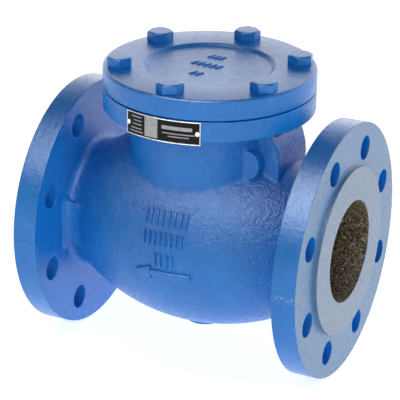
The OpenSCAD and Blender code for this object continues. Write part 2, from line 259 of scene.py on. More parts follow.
def crossings(field, values, low, cell, axis):
    """Where the surface crosses the grid's edges along one axis: the edges' first grid points, the crossing
    points, the surface's normals there, and whether each edge starts outside."""
    inside = values < 0
    first = [slice(1, -1)] * 3
    first[axis] = slice(0, -1)
    second = list(first)
    second[axis] = slice(1, None)
    at = np.argwhere(inside[tuple(first)] != inside[tuple(second)])
    at += [0 if i == axis else 1 for i in range(3)]
    step = np.zeros(3, int)
    step[axis] = 1
    v0 = values[tuple(at.T)].astype(float)
    v1 = values[tuple((at + step).T)].astype(float)
    p = low + cell * at
    start = p[:, axis].copy()
    t = v0 / (v0 - v1)
    low_t = np.zeros(len(t))
    high_t = np.ones(len(t))
    for _ in range(BISECTIONS):
        p[:, axis] = start + cell * t
        same = (field(*p.T) < 0) == (v0 < 0)
        low_t = np.where(same, t, low_t)
        high_t = np.where(same, high_t, t)
        t = (low_t + high_t) / 2
    p[:, axis] = start + cell * t
    return at, p, gradient(field, p), v0 > 0


def meeting_points(cells, points, normals):
    """For each cell, the point nearest to all the planes that cross it. Also gives the cells' numbers."""
    used, inverse = np.unique(cells, return_inverse=True)
    count = np.bincount(inverse).astype(float)

    def total(v):
        return np.bincount(inverse, v, len(used))

    centre = np.stack([total(points[:, i]) / count for i in range(3)], 1)
    reach = (normals * (points - centre[inverse])).sum(1)
    matrix = np.zeros((len(used), 3, 3))
    side = np.zeros((len(used), 3))
    for i in range(3):
        side[:, i] = total(normals[:, i] * reach)
        for j in range(3):
            matrix[:, i, j] = total(normals[:, i] * normals[:, j])
    matrix += np.eye(3) * PULL_TO_CENTRE * count[:, None, None]
    return used, centre + np.linalg.solve(matrix, side[:, :, None])[:, :, 0]


def contour(field, low, high, cell):
    """Dual contouring: one vertex for each cell that the surface crosses, placed where the surface's planes
    meet, and one quad for each grid edge that it crosses. Sharp edges of the field stay sharp."""
    size = np.ceil((high - low) / cell).astype(int) + 1
    axes = [low[i] + cell * np.arange(size[i]) for i in range(3)]
    values = np.empty(size, np.float32)
    y, z = np.meshgrid(axes[1], axes[2], indexing="ij")
    for i, x in enumerate(axes[0]):
        values[i] = field(np.full_like(y, x), y, z)

    quads = []
    cells = []
    points = []
    normals = []
    strides = np.array([size[1] * size[2], size[2], 1])
    for axis in range(3):
        at, p, n, starts_outside = crossings(field, values, low, cell, axis)
        u = strides[(axis + 1) % 3]
        w = strides[(axis + 2) % 3]
        base = at @ strides
        ring = [base, base - u, base - u - w, base - w]
        quad = np.stack(ring, 1)
        quad[starts_outside] = quad[starts_outside][:, ::-1]
        quads.append(quad)
        cells += ring
        points += [p] * 4
        normals += [n] * 4

    used, vertices = meeting_points(np.concatenate(cells), np.concatenate(points), np.concatenate(normals))
    corner = np.stack(np.unravel_index(used, tuple(size)), 1) * cell + low
    vertices = np.clip(vertices, corner - CELL_SLACK * cell, corner + (1 + CELL_SLACK) * cell)
    return vertices, np.searchsorted(used, np.concatenate(quads))


# ---- mesh helpers --------------------------------------------------------------------------------

def new_piece(name, vertices, faces, smooth_angle=35):
    """A mesh object from points in millimetres about the neck axis and a list of faces."""
    mesh = bpy.data.meshes.new(name)
    points = (np.asarray(vertices, float) + [MID, 0, 0]) * MM
    if isinstance(faces, np.ndarray):
        mesh.vertices.add(len(points))
        mesh.vertices.foreach_set("co", points.astype(np.float32).ravel())
        mesh.loops.add(faces.size)
        mesh.loops.foreach_set("vertex_index", faces.astype(np.int32).ravel())
        mesh.polygons.add(len(faces))
        mesh.polygons.foreach_set("loop_start", np.arange(0, faces.size, faces.shape[1], dtype=np.int32))
        mesh.update(calc_edges=True)
        mesh.validate()
    else:
        mesh.from_pydata([tuple(p) for p in points], [], faces)
        mesh.update()
    mesh.shade_smooth()
    mesh.set_sharp_from_angle(angle=math.radians(smooth_angle))
    piece = bpy.data.objects.new(name, mesh)
    bpy.context.scene.collection.objects.link(piece)
    return piece


def lathe(profile, segments=192, closed=True):
    """Points and faces of a profile of (radius, height) pairs turned about +Z. A radius of 0 closes to a
    point."""
    points = []
    rows = []
    angles = np.arange(segments) * 2 * np.pi / segments
    for r, h in profile:
        if r < 1e-6:
            rows.append([len(points)] * segments)
            points.append((0, 0, h))
        else:
            rows.append(list(range(len(points), len(points) + segments)))
            points += [(r * math.cos(a), r * math.sin(a), h) for a in angles]
    faces = []
    pairs = list(zip(rows, rows[1:]))
    if closed:
        pairs.append((rows[-1], rows[0]))
    for lower, upper in pairs:
        for i in range(segments):
            j = (i + 1) % segments
            ring = [lower[i], lower[j], upper[j], upper[i]]
            ring = [v for k, v in enumerate(ring) if v != ring[k - 1]]
            if len(ring) > 2:
                faces.append(ring)
    return np.array(points, float), faces


def rounded(profile, radii, steps=5):
    """The closed profile with each corner rounded to its radius, in points."""
    out = []
    n = len(profile)
    for k, (corner, r) in enumerate(zip(profile, radii)):
        p = np.array(corner, float)
        if r <= 0:
            out.append(tuple(p))
            continue
        a = np.array(profile[k - 1], float) - p
        b = np.array(profile[(k + 1) % n], float) - p
        a, b = a / np.linalg.norm(a), b / np.linalg.norm(b)
        half_angle = math.acos(float(np.clip(a @ b, -1, 1))) / 2
        cut = r / math.tan(half_angle)
        middle = p + (a + b) / np.linalg.norm(a + b) * r / math.sin(half_angle)
        start = p + a * cut - middle
        end = p + b * cut - middle
        sweep = math.atan2(start[0] * end[1] - start[1] * end[0], start @ end)
        for s in range(steps + 1):
            t = sweep * s / steps
            c, d = math.cos(t), math.sin(t)
            out.append(tuple(middle + [start[0] * c - start[1] * d, start[0] * d + start[1] * c]))
    return out


def turned(points, axis, origin):
    """Points made about +Z, turned so that +Z becomes the axis "x" or "y", and moved to origin."""
    x, y, z = points.T
    ways = {"x": (z, y, -x), "y": (x, z, -y)}
    return np.stack(ways[axis], 1) + np.array(origin, float)


def arc_bar(a0, a1, z0, z1, r0, r1, steps):
    """A closed bar on a rim round the neck axis, between two angles, heights and radii."""
    angles = np.radians(np.linspace(a0, a1, steps + 1))
    points = []
    for a in angles:
        for r, z in ((r0, z0), (r1, z0), (r1, z1), (r0, z1)):
            points.append((r * math.cos(a), r * math.sin(a), z))
    faces = [[0, 1, 2, 3], [4 * steps + 3, 4 * steps + 2, 4 * steps + 1, 4 * steps]]
    for i in range(steps):
        for j in range(4):
            k = (j + 1) % 4
            faces.append([4 * i + j, 4 * i + 4 + j, 4 * i + 4 + k, 4 * i + k])
    return np.array(points), faces


def merged(parts):
    """Several (points, faces) pairs as one."""
    points = []
    faces = []
    at = 0
    for p, f in parts:
        points.append(p)
        faces += [[v + at for v in face] for face in f]
        at += len(p)
    return np.concatenate(points), faces


def finish_piece(piece, node, body, material):
    """Stands a piece in for its CAD node, with its body and material."""
    piece.data.materials.clear()
    piece.data.materials.append(material)
    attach(piece, body)
    if node:
        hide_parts(*([node] if isinstance(node, str) else node))


# ---- materials -----------------------------------------------------------------------------------

class Nodes:
    """A few short calls for building a node material."""

    def __init__(self, name):
        self.material = bpy.data.materials.new(name)
        self.material.use_nodes = True
        self.tree = self.material.node_tree
        self.shader = self.tree.nodes["Principled BSDF"]
        self.place = self.new("ShaderNodeTexCoord").outputs["Object"]

    def new(self, kind, **settings):
        node = self.tree.nodes.new(kind)
        for key, value in settings.items():
            setattr(node, key, value)
        return node

    def link(self, value, socket):
        if isinstance(value, (int, float, tuple)):
            socket.default_value = value
        else:
            self.tree.links.new(value, socket)

    def math(self, operation, a, b=0.0):
        node = self.new("ShaderNodeMath", operation=operation)
        self.link(a, node.inputs[0])
        self.link(b, node.inputs[1])
        return node.outputs[0]

    def noise(self, scale, detail=3.0, rough=0.5):
        node = self.new("ShaderNodeTexNoise")
        self.link(self.place, node.inputs["Vector"])
        node.inputs["Scale"].default_value = scale
        node.inputs["Detail"].default_value = detail
        node.inputs["Roughness"].default_value = rough
        return node.outputs["Fac"]

    def ramp(self, value, low, high, to_low=0.0, to_high=1.0):
        node = self.new("ShaderNodeMapRange", interpolation_type="SMOOTHSTEP")
        self.link(value, node.inputs["Value"])
        for key, number in (("From Min", low), ("From Max", high), ("To Min", to_low), ("To Max", to_high)):
            node.inputs[key].default_value = number
        return node.outputs["Result"]

    def mix(self, factor, a, b):
        node = self.new("ShaderNodeMix", data_type="RGBA")
        self.link(factor, node.inputs["Factor"])
        self.link(a, node.inputs["A"])
        self.link(b, node.inputs["B"])
        return node.outputs["Result"]

    def axes(self):
        node = self.new("ShaderNodeSeparateXYZ")
        self.link(self.place, node.inputs[0])
        return node.outputs

    def attribute(self, name):
        return self.new("ShaderNodeAttribute", attribute_name=name).outputs["Fac"]

    def bump(self, height, distance, strength=1.0, normal=None):
        node = self.new("ShaderNodeBump")
        self.link(height, node.inputs["Height"])
        node.inputs["Distance"].default_value = distance
        node.inputs["Strength"].default_value = strength
        if normal is not None:
            self.link(normal, node.inputs["Normal"])
        return node.outputs["Normal"]

    def soft_edges(self, radius):
        node = self.new("ShaderNodeBevel", samples=6)
        node.inputs["Radius"].default_value = radius
        return node.outputs["Normal"]

    def set(self, **values):
        for key, value in values.items():
            self.link(value, self.shader.inputs[key.replace("_", " ")])


BLUE = (0.002, 0.200, 0.640, 1)
BLUE_DEEP = (0.001, 0.155, 0.530, 1)
BLUE_WORN = (0.040, 0.260, 0.660, 1)
FACE_BLUE = (0.090, 0.205, 0.390, 1)
FACE_PALE = (0.170, 0.240, 0.350, 1)
SCRAPED = (0.50, 0.58, 0.66, 1)
CHIPPED = (0.42, 0.47, 0.52, 1)
RUST_DARK = (0.010, 0.007, 0.004, 1)
RUST_LIGHT = (0.225, 0.160, 0.080, 1)
IRON_SPECK = (0.75, 0.72, 0.64, 1)


def enamel(name, cast, edge=0.0009, body=False):
    """Blue enamel. cast is how strongly the sand casting's roughness shows through it."""
    m = Nodes(name)
    patches = m.ramp(m.noise(9, 4, 0.6), 0.35, 0.68)
    colour = m.mix(patches, BLUE_DEEP, BLUE)
    streaks = m.ramp(m.noise(55, 5, 0.7), 0.50, 0.72)
    colour = m.mix(m.math("MULTIPLY", streaks, 0.35), colour, BLUE_WORN)
    coarse = m.noise(260, 3, 0.60)
    fine = m.noise(640, 3, 0.60)
    height = m.math("ADD", m.math("MULTIPLY", coarse, 1.1), m.math("MULTIPLY", fine, 1.0))
    amount = cast
    if body:
        amount = m.math("ADD", m.math("MULTIPLY", m.attribute("cast"), cast), 0.12)
    height = m.math("MULTIPLY", height, amount)
    rough = m.math("ADD", m.math("MULTIPLY", m.noise(140, 3, 0.6), 0.14), 0.20)
    if body:
        x, y, z = m.axes()
        radius = m.math("SQRT", m.math("ADD", m.math("MULTIPLY", y, y), m.math("MULTIPLY", z, z)))
        # casting seam across each flange rim, level with the pipe axis
        level = m.math("ABSOLUTE", m.math("ADD", z, m.math("MULTIPLY", m.noise(60), 0.0006)))
        on_rim = m.ramp(radius, (FLANGE_R - 1.5) * MM, (FLANGE_R - 0.8) * MM)
        seam = m.math("MULTIPLY", m.ramp(level, 0.0004, 0.0013, 1, 0), on_rim)
        height = m.math("ADD", height, m.math("MULTIPLY", seam, 0.9))
        colour = m.mix(m.math("MULTIPLY", seam, 0.55), colour, BLUE_DEEP)
        # paler colour on the flange faces, and most of all on the raised faces
        end = m.math("ABSOLUTE", m.math("SUBTRACT", x, MID * MM))
        mottle = m.math("MULTIPLY", m.noise(45, 5, 0.7), 0.5)
        for depth, tint, share in ((RAISED_H, FACE_BLUE, 0.75), (0, FACE_PALE, 0.65)):
            edge_at = (HALF - depth) * MM
            there = m.ramp(end, edge_at - 0.00015, edge_at - 0.00002)
            colour = m.mix(m.math("MULTIPLY", there, m.math("ADD", mottle, share)), colour, tint)
        # scrapes beside the seam, on the front of the inlet flange's rim
        front = m.ramp(y, (1.5 - FLANGE_R) * MM, (3 - FLANGE_R) * MM, 1, 0)
        chipped = m.math("MULTIPLY", m.ramp(level, 0.0006, 0.0035, 1, 0), front)
        chipped = m.math("MULTIPLY", chipped, m.ramp(x, (-FLANGE_T - 4) * MM, (4 - FLANGE_T) * MM))
        chipped = m.math("MULTIPLY", chipped, m.ramp(m.noise(420, 3, 0.6), 0.54, 0.62))
        colour = m.mix(m.math("MULTIPLY", chipped, 0.6), colour, SCRAPED)
        # bare iron inside the bore
        in_bore = m.ramp(radius, (BORE_R + 0.05) * MM, (BORE_R + 0.3) * MM, 1, 0)
        bare = m.math("MAXIMUM", m.attribute("bare"), in_bore)
        rust = m.mix(m.ramp(m.noise(420, 5, 0.75), 0.38, 0.66), RUST_DARK, RUST_LIGHT)
        iron = m.mix(m.ramp(m.noise(800, 2, 0.6), 0.59, 0.66), rust, IRON_SPECK)
        colour = m.mix(bare, colour, iron)
        rough = m.math("ADD", rough, m.math("MULTIPLY", bare, 0.25))
        pitting = m.math("MULTIPLY", bare, m.noise(380, 4, 0.7))
        height = m.math("ADD", height, m.math("MULTIPLY", pitting, 2.2))
    # chips where the enamel broke on an edge
    rim = m.ramp(m.new("ShaderNodeNewGeometry").outputs["Pointiness"], 0.56, 0.66)
    chip = m.math("MULTIPLY", rim, m.ramp(m.noise(130, 4, 0.7), 0.64, 0.68))
    colour = m.mix(m.math("MULTIPLY", chip, 0.8), colour, CHIPPED)
    m.set(Base_Color=colour, Roughness=rough, IOR=1.5)
    m.set(Normal=m.bump(height, 0.00045, 1.0, m.soft_edges(edge)))
    return m.material


def metal(name, low, high, rough, edge=0.0004, metallic=1.0, grain=500.0, bump=0.00003):
    """Machined or worn metal with two mottled tones."""
    m = Nodes(name)
    tone = m.ramp(m.noise(grain * 0.4, 4, 0.65), 0.35, 0.65)
    m.set(Base_Color=m.mix(tone, low, high), Metallic=metallic)
    m.set(Roughness=m.math("ADD", m.math("MULTIPLY", m.noise(grain, 3), 0.2), rough - 0.1))
    m.set(Normal=m.bump(m.noise(grain, 3, 0.6), bump, 1.0, m.soft_edges(edge)))
    return m.material


def dull(name, low, high, rough, grain=400.0, bump=0.00005, ior=1.5):
    """A non-metal sheet or print with a little tooth."""
    m = Nodes(name)
    m.set(Base_Color=m.mix(m.ramp(m.noise(grain, 4, 0.6), 0.35, 0.65), low, high))
    m.set(Roughness=m.math("ADD", m.math("MULTIPLY", m.noise(grain * 2, 2), 0.2), rough - 0.1), IOR=ior)
    m.set(Normal=m.bump(m.noise(grain, 3), bump))
    return m.material


ENAMEL_BODY = enamel("enamel_body", 1.5, body=True)
ENAMEL_COVER = enamel("enamel_cover", 0.30, 0.0012)
ENAMEL_BOLT = enamel("enamel_bolt", 0.15, 0.0008)
ENAMEL_MARK = enamel("enamel_mark", 0.5, 0.0008)
BRONZE = metal("bronze", (0.42, 0.27, 0.12, 1), (0.60, 0.42, 0.21, 1), 0.32)
STEEL = metal("steel", (0.42, 0.42, 0.43, 1), (0.60, 0.60, 0.62, 1), 0.30)
RIVET = metal("rivet_metal", (0.78, 0.79, 0.80, 1), (0.90, 0.90, 0.91, 1), 0.36)
COPPER = metal("copper", (0.55, 0.24, 0.13, 1), (0.72, 0.36, 0.22, 1), 0.35)
IRON = metal(
    "bare_iron", (0.030, 0.024, 0.019, 1), (0.095, 0.072, 0.052, 1), 0.62,
    edge=0.0008, metallic=0.35, grain=600.0, bump=0.00022,
)
GASKET = dull("gasket_sheet", (0.010, 0.010, 0.010, 1), (0.030, 0.028, 0.026, 1), 0.85)
PLATE_BLACK = dull("plate_black", (0.003, 0.003, 0.004, 1), (0.007, 0.007, 0.008, 1), 0.40, ior=1.25)
PLATE_EDGE = metal("plate_edge", (0.62, 0.62, 0.62, 1), (0.80, 0.80, 0.79, 1), 0.34)
PLATE_PALE = dull("plate_pale", (0.30, 0.32, 0.31, 1), (0.42, 0.44, 0.42, 1), 0.5)
PLATE_PRINT = dull("plate_print", (0.30, 0.31, 0.33, 1), (0.42, 0.43, 0.45, 1), 0.5)

# ---- cast body -----------------------------------------------------------------------------------

CELL = 1.5
LOWEST = np.array([-HALF, -FLANGE_R, -FLANGE_R])
HIGHEST = np.array([HALF, FLANGE_R, NECK_TOP])
GRID_MARGIN = np.array([2.3, 2.4, 2.2])
vertices, quads = contour(body_field, LOWEST - GRID_MARGIN, HIGHEST + GRID_MARGIN, CELL)
vertices = np.clip(vertices, LOWEST, HIGHEST)
body = new_piece("cast_body", vertices, quads)

# cast says where the sand casting's roughness shows, and bare where the iron has no enamel
x, y, z = vertices.T
r_pipe = np.hypot(y, z)
r_neck = np.hypot(x, y)
on_flange = np.abs(x) > HALF_BACK - 0.5
on_collar = (z > NECK_UNDER - 0.2) & (r_neck > NECK_R)
cast = 1.0 - np.maximum(on_flange, on_collar) * 0.72
bare = (body_inside(x, y, z) < 0.6) & (np.abs(x) < HALF - 2) & (np.abs(drilled(x, y, z)) > 0.6)
bare &= (z < NECK_TOP - 1) & (np.abs(y) < BARREL_R)
bare &= (y < BOSS_HALF - 1) | (z < PIN_Z - SPOT_FACE_R - 4)
for name, values in (("cast", cast), ("bare", bare)):
    layer = body.data.attributes.new(name, "FLOAT", "POINT")
    layer.data.foreach_set("value", values.astype(np.float32))
finish_piece(body, "body", "housing", ENAMEL_BODY)

# ---- raised marks on the barrel ------------------------------------------------------------------

MARK_H = 1.9
MARK_W = 7.0
MARK_L = 11.5
STROKE_W = 2.4
# each row's number of characters, their pitch, the first one's x and the row's middle z
MARK_ROWS = ((4, 9.8, -18.7, 25.2), (4, 9.0, -18.6, 9.4), (2, 10.0, -8.6, -7.6))
ARROW_TIP = (-24.2, -13.5)
ARROW_LEN = 46.5
ARROW_HEAD = 13.5
ARROW_HALF = 6.0
ARROW_SHAFT = 5.2
ARROW_TILT = 1.0


def raised_strip(stations, height=MARK_H):
    """A raised strip on the barrel's front. Each station along it is its x, middle z, half width and
    share of the height."""
    points = []
    for x, z, half, share in stations:
        inset = min(0.9, half * 0.6)
        section = [(-half, -0.6), (-half, 0.45 * share)]
        section += [(-half + inset * 0.35, 0.85 * share), (-half + inset, share)]
        section += [(-u, v) for u, v in reversed(section)]
        for u, v in section:
            radius = BARREL_R - BARREL_ARC + math.sqrt((BARREL_ARC + v * height) ** 2 - x * x)
            points.append((x, -math.sqrt(radius ** 2 - (z + u) ** 2), z + u))
    n = 8
    faces = [list(range(n)), [len(points) - 1 - i for i in range(n)]]
    for k in range(len(stations) - 1):
        for i in range(n):
            j = (i + 1) % n
            faces.append([k * n + j, k * n + i, k * n + n + i, k * n + n + j])
    return np.array(points), faces


def blank_stroke(x, z):
    """A plain upright stroke with rounded ends. Two stand where the casting has a raised character."""
    half = MARK_L / 2
    ends = ((0.0, half - 1.0, 0.45), (0.35, half - 0.5, 0.85), (0.8, half - 0.1, 1.0))
    stations = [(x + u, z + half, w, k) for u, w, k in ends]
    stations += [(x + STROKE_W - u, z + half, w, k) for u, w, k in reversed(ends)]
    return raised_strip(stations)


marks = []
for count, pitch, x0, z in MARK_ROWS:
    for i in range(count):
        marks += [blank_stroke(x0 + i * pitch, z), blank_stroke(x0 + i * pitch + MARK_W - STROKE_W, z)]
points, faces = merged(marks)
finish_piece(new_piece("cast_marks", points, faces, 50), None, "housing", ENAMEL_MARK)

# the arrow's head widens evenly, then its shaft runs straight to a narrowed end
widening = (ARROW_HALF - 0.9) / (ARROW_HEAD - 1.0)
stations = [(0.0, 0.5, 0.5), (0.5, 0.9, 0.9)]
stations += [(u, 0.9 + widening * (u - 0.5), 1.0) for u in np.arange(2.5, ARROW_HEAD - 0.4, 2)]
stations += [(ARROW_HEAD - 0.5, ARROW_HALF, 1.0), (ARROW_HEAD, ARROW_HALF - 0.4, 0.7)]
stations += [(ARROW_HEAD + 0.05, ARROW_SHAFT / 2, 1.0)]
stations += [(u, ARROW_SHAFT / 2, 1.0) for u in np.arange(ARROW_HEAD + 2, ARROW_LEN - 1, 2)]
stations += [(ARROW_LEN - 0.4, ARROW_SHAFT / 2 - 0.2, 0.9), (ARROW_LEN, ARROW_SHAFT / 2 - 0.7, 0.45)]
tip_x, tip_z = ARROW_TIP
slope = math.tan(math.radians(ARROW_TILT))
points, faces = raised_strip([(tip_x + u, tip_z + u * slope, w, k) for u, w, k in stations])
finish_piece(new_piece("cast_arrow", points, faces, 50), None, "housing", ENAMEL_MARK)

# ---- cover and its bolts -------------------------------------------------------------------------

RECESS_R = 49.5
RECESS_H = 2.5
SPIGOT_R = NECK_BORE_R - 0.5
cover_profile = rounded(
    [
        (0, 112), (SPIGOT_R - 6, 112), (SPIGOT_R - 6, 112.01), (SPIGOT_R, 112), (SPIGOT_R, COVER_Z),
        (COVER_R, COVER_Z), (COVER_R, COVER_TOP), (RECESS_R + 0.8, COVER_TOP),
        (RECESS_R - 2.6, COVER_TOP - RECESS_H), (0, COVER_TOP - RECESS_H),
    ],
    [0, 0, 0, 0.6, 0, 0.5, 2.0, 1.4, 3.0, 0],
    6,
)
points, faces = lathe(cover_profile, 256, closed=False)
cover = new_piece("cast_cover", points, faces, 30)
finish_piece(cover, "cover", "housing", ENAMEL_COVER)


def low_block(place, length, width, height, turn_deg):
    """A low plain block with sloping sides, on a level face at place."""
    x, y, z0 = place
    c = math.cos(math.radians(turn_deg))
    s = math.sin(math.radians(turn_deg))
    points = []
    for inset, z in ((0, z0 - 0.3), (0, z0 + height * 0.35), (0.35, z0 + height * 0.9), (0.8, z0 + height)):
        u, v = length / 2 - inset, width / 2 - inset * 0.8
        for i, j in ((-u, -v), (u, -v), (u, v), (-u, v)):
            points.append((x + i * c - j * s, y + i * s + j * c, z))
    faces = [[3, 2, 1, 0], [12, 13, 14, 15]]
    for k in range(3):
        for i in range(4):
            j = (i + 1) % 4
            faces.append([4 * k + i, 4 * k + j, 4 * k + 4 + j, 4 * k + 4 + i])
    return np.array(points), faces


# blank blocks in three short rows, where the cover's recess has raised characters: each row's x and y,
# number of blocks and their pitch
RECESS_MARK_TURN = 68
RECESS_MARK_L = 7.5
RECESS_MARK_W = 2.3
RECESS_MARK_H = 1.1
RECESS_FLOOR = COVER_TOP - RECESS_H
RECESS_ROWS = ((-9.0, 23.0, 3, 4.4), (-14.5, 4.6, 5, 5.2), (-5.5, -17.5, 2, 5.0))
marks = []
for x0, y0, count, pitch in RECESS_ROWS:
    for i in range(count):
        along = i * pitch
        place = (x0 + along, y0 - 0.1 * along, RECESS_FLOOR)
        marks.append(low_block(place, RECESS_MARK_L, RECESS_MARK_W, RECESS_MARK_H, RECESS_MARK_TURN))
points, faces = merged(marks)
finish_piece(new_piece("recess_marks", points, faces, 50), None, "housing", ENAMEL_COVER)


def hex_bolt(turn_deg, flats, head_h, shank_r, shank_l, segments=96):
    """A hexagon head above z = 0, with its corners turned off and its edges eased, and a plain shank below."""
    inner = flats / 2
    outline = []
    for i in range(segments):
        a = 2 * math.pi * i / segments
        fold = (a + math.pi / 6) % (math.pi / 3) - math.pi / 6
        outline.append((a, inner / math.cos(fold)))
    rings = [
        lambda r: (shank_r, -shank_l),
        lambda r: (shank_r, 0.0),
        lambda r: (inner * 0.97, 0.0),
        lambda r: (r - 0.25, 0.0),
        lambda r: (r, 0.3),
        lambda r: (r, head_h - 0.5 - max(0.0, r - inner) * 0.62),
        lambda r: (r - 0.45, head_h - 0.15 - max(0.0, r - inner) * 0.55),
        lambda r: (inner * 0.93, head_h - 0.05),
        lambda r: (inner * 0.55, head_h),
    ]
    offset = math.radians(turn_deg + 30)
    points = [(0, 0, -shank_l)]
    for ring in rings:
        for a, r in outline:
            radius, height = ring(r)
            points.append((radius * math.cos(a + offset), radius * math.sin(a + offset), height))
    points.append((0, 0, head_h))
    faces = []
    for k in range(len(rings) - 1):
        for i in range(segments):
            j = (i + 1) % segments
            a, b = 1 + k * segments, 1 + (k + 1) * segments
            faces.append([a + i, a + j, b + j, b + i])
    last = 1 + (len(rings) - 1) * segments
    for i in range(segments):
        j = (i + 1) % segments
        faces.append([0, 1 + j, 1 + i])
        faces.append([last + i, last + j, len(points) - 1])
    return np.array(points), faces


BOLT_FLATS = 18.0
BOLT_HEAD_H = 7.5
BOLT_R = 6.0
BOLT_L = 30.0
for number, (angle, turn) in enumerate(zip(COVER_BOLT_ANGLES, COVER_BOLT_TURNS), 1):
    points, faces = hex_bolt(turn, BOLT_FLATS, BOLT_HEAD_H, BOLT_R, BOLT_L)
    a = math.radians(angle)
    points = points + [COVER_BOLT_R * math.cos(a), COVER_BOLT_R * math.sin(a), COVER_TOP]
    bolt = new_piece(f"hex_bolt_{number}", points, faces, 28)
    finish_piece(bolt, f"cover_bolt_{number}", "housing", ENAMEL_BOLT)

# ---- nameplate -----------------------------------------------------------------------------------

PLATE_LO, PLATE_HI = box_mm("nameplate")
PLATE_R = COVER_R + 0.05
PLATE_T = 0.6
PLATE_TURN = -90.8
PLATE_W = 61.7
PLATE_SPAN = math.degrees(PLATE_W / COVER_R)
PLATE_Z0 = PLATE_LO[2]
PLATE_Z1 = PLATE_HI[2]


def plate_angle(along):
    """Angle on the rim of a place along the plate, from 0 at its left end to 1 at its right end."""
    return PLATE_TURN + PLATE_SPAN * (along - 0.5)


def plate_bar(u0, u1, v0, v1, lift, sink=0.1):
    """A bar on the plate between fractions of its width and height, standing lift above it."""
    height = PLATE_Z1 - PLATE_Z0
    steps = max(2, int(40 * (u1 - u0)) + 1)
    top = PLATE_R + PLATE_T
    return arc_bar(plate_angle(u0), plate_angle(u1), PLATE_Z0 + height * v0, PLATE_Z0 + height * v1,
                   top - sink, top + lift, steps)


points, faces = arc_bar(plate_angle(0), plate_angle(1), PLATE_Z0, PLATE_Z1, PLATE_R, PLATE_R + PLATE_T, 48)
plate = new_piece("plate_field", points, faces, 30)
finish_piece(plate, "nameplate", "housing", PLATE_BLACK)

EDGE_U = 0.012
EDGE_V = 0.04
border = [
    plate_bar(0, 1, 0, EDGE_V, 0.06),
    plate_bar(0, 1, 1 - EDGE_V, 1, 0.06),
    plate_bar(0, EDGE_U, EDGE_V, 1 - EDGE_V, 0.06),
    plate_bar(1 - EDGE_U, 1, EDGE_V, 1 - EDGE_V, 0.06),
]
points, faces = merged(border)
finish_piece(new_piece("plate_border", points, faces, 30), None, "housing", PLATE_EDGE)
points, faces = plate_bar(0.285, 0.465, 0.10, 0.95, 0.04)
finish_piece(new_piece("plate_patch", points, faces, 30), None, "housing", PLATE_PALE)

prints = [plate_bar(0.52, 0.90, 0.58, 0.74, 0.03)]
for v, u0, u1 in ((0.40, 0.53, 0.93), (0.27, 0.60, 0.86), (0.80, 0.09, 0.24), (0.64, 0.12, 0.24),
                  (0.48, 0.10, 0.24), (0.30, 0.08, 0.24), (0.16, 0.06, 0.26)):
    prints.append(plate_bar(u0, u1, v, v + 0.045, 0.03))
points, faces = merged(prints)
finish_piece(new_piece("plate_bars", points, faces, 30), None, "housing", PLATE_PRINT)

rivet_profile = [(0, -3), (1.2, -3), (1.2, 0), (1.95, 0), (1.6, 0.85), (0, 1.05)]
rivet_profile = rounded(rivet_profile, [0, 0, 0, 0.2, 0.5, 0], 4)
for number, u in ((1, 0.037), (2, 0.963)):
    points, faces = lathe(rivet_profile, 32, closed=False)
    x, y, z = turned(points, "x", (PLATE_R + PLATE_T, 0, 0)).T
    c = math.cos(math.radians(plate_angle(u)))
    s = math.sin(math.radians(plate_angle(u)))
    points = np.stack([x * c - y * s, x * s + y * c, z], 1) + [0, 0, (PLATE_Z0 + PLATE_Z1) / 2]
    rivet = new_piece(f"domed_rivet_{number}", points, faces, 40)
    finish_piece(rivet, f"nameplate_rivet_{number}", "housing", RIVET)

# ---- seat, disc and plug -------------------------------------------------------------------------

SEAT_X = 49.0
DISC_R = 47.0
DISC_BACK = 38.0
DISC_FRONT = 47.0
DISC_HUB_X = 34.3
DISC_HUB_R = 17.0
STUD_R = 7.0
STUD_END = 1.0
RING_IN = 40.5
RING_OUT = 45.5
RING_X = 45.0
DISH_R = 35.5
DISH_X = 45.0
SEAT_IN_R = BORE_R - 0.5
SEAT_OUT_R = DISC_R + 1
PLUG_COLLAR_R = 11.0
PLUG_COLLAR_T = 3.0
PLUG_GASKET_T = 1.5
PLUG_FLATS = 17.0
PLUG_HEX_T = 9.0
PLUG_SHANK_R = 8.5
PLUG_END = -12.0
PLUG_TURN = 15


def turned_piece(name, profile, radii, axis, origin, node, body, material, closed=True):
    """A lathe piece, from (radius, height) corners with a rounding for each."""
    points, faces = lathe(rounded(profile, radii), 192, closed)
    piece = new_piece(name, turned(points, axis, origin), faces, 30)
    finish_piece(piece, node, body, material)


seat_profile = [
    (SEAT_OUT_R, SEAT_X), (SEAT_OUT_R, WALL_X), (SEAT_BORE_R, WALL_X), (SEAT_BORE_R, SEAT_END),
    (SEAT_IN_R, SEAT_END), (SEAT_IN_R, SEAT_X),
]
turned_piece("turned_seat", seat_profile, [0.5, 0.3, 0, 0.3, 0.6, 0.4], "x", (0, 0, 0),
             "seat_ring", "housing", BRONZE)
ring_profile = [(RING_IN, RING_X), (RING_OUT, RING_X), (RING_OUT, SEAT_X - 0.02), (RING_IN, SEAT_X - 0.02)]
turned_piece("turned_face_ring", ring_profile, [0, 0, 0.3, 0.3], "x", (0, 0, 0),
             "disc_face_ring", "disc", BRONZE)
disc_profile = [
    (0, STUD_END), (STUD_R, STUD_END), (STUD_R, DISC_HUB_X), (DISC_HUB_R, DISC_HUB_X),
    (DISC_HUB_R + 6, DISC_BACK), (DISC_R - 4, DISC_BACK), (DISC_R, DISC_BACK + 3.6),
    (DISC_R, DISC_FRONT), (RING_OUT, DISC_FRONT), (RING_OUT, RING_X), (RING_IN, RING_X),
    (RING_IN, DISC_FRONT), (DISH_R, DISC_FRONT), (DISH_R, DISH_X), (0, DISH_X),
]
disc_rounding = [0, 0.8, 1.0, 1.5, 1.5, 1.2, 1.0, 0.5, 0, 0, 0, 0, 0.8, 0.8, 0]
turned_piece("turned_disc", disc_profile, disc_rounding, "x", (0, 0, 0),
             "disc", "disc", IRON, closed=False)

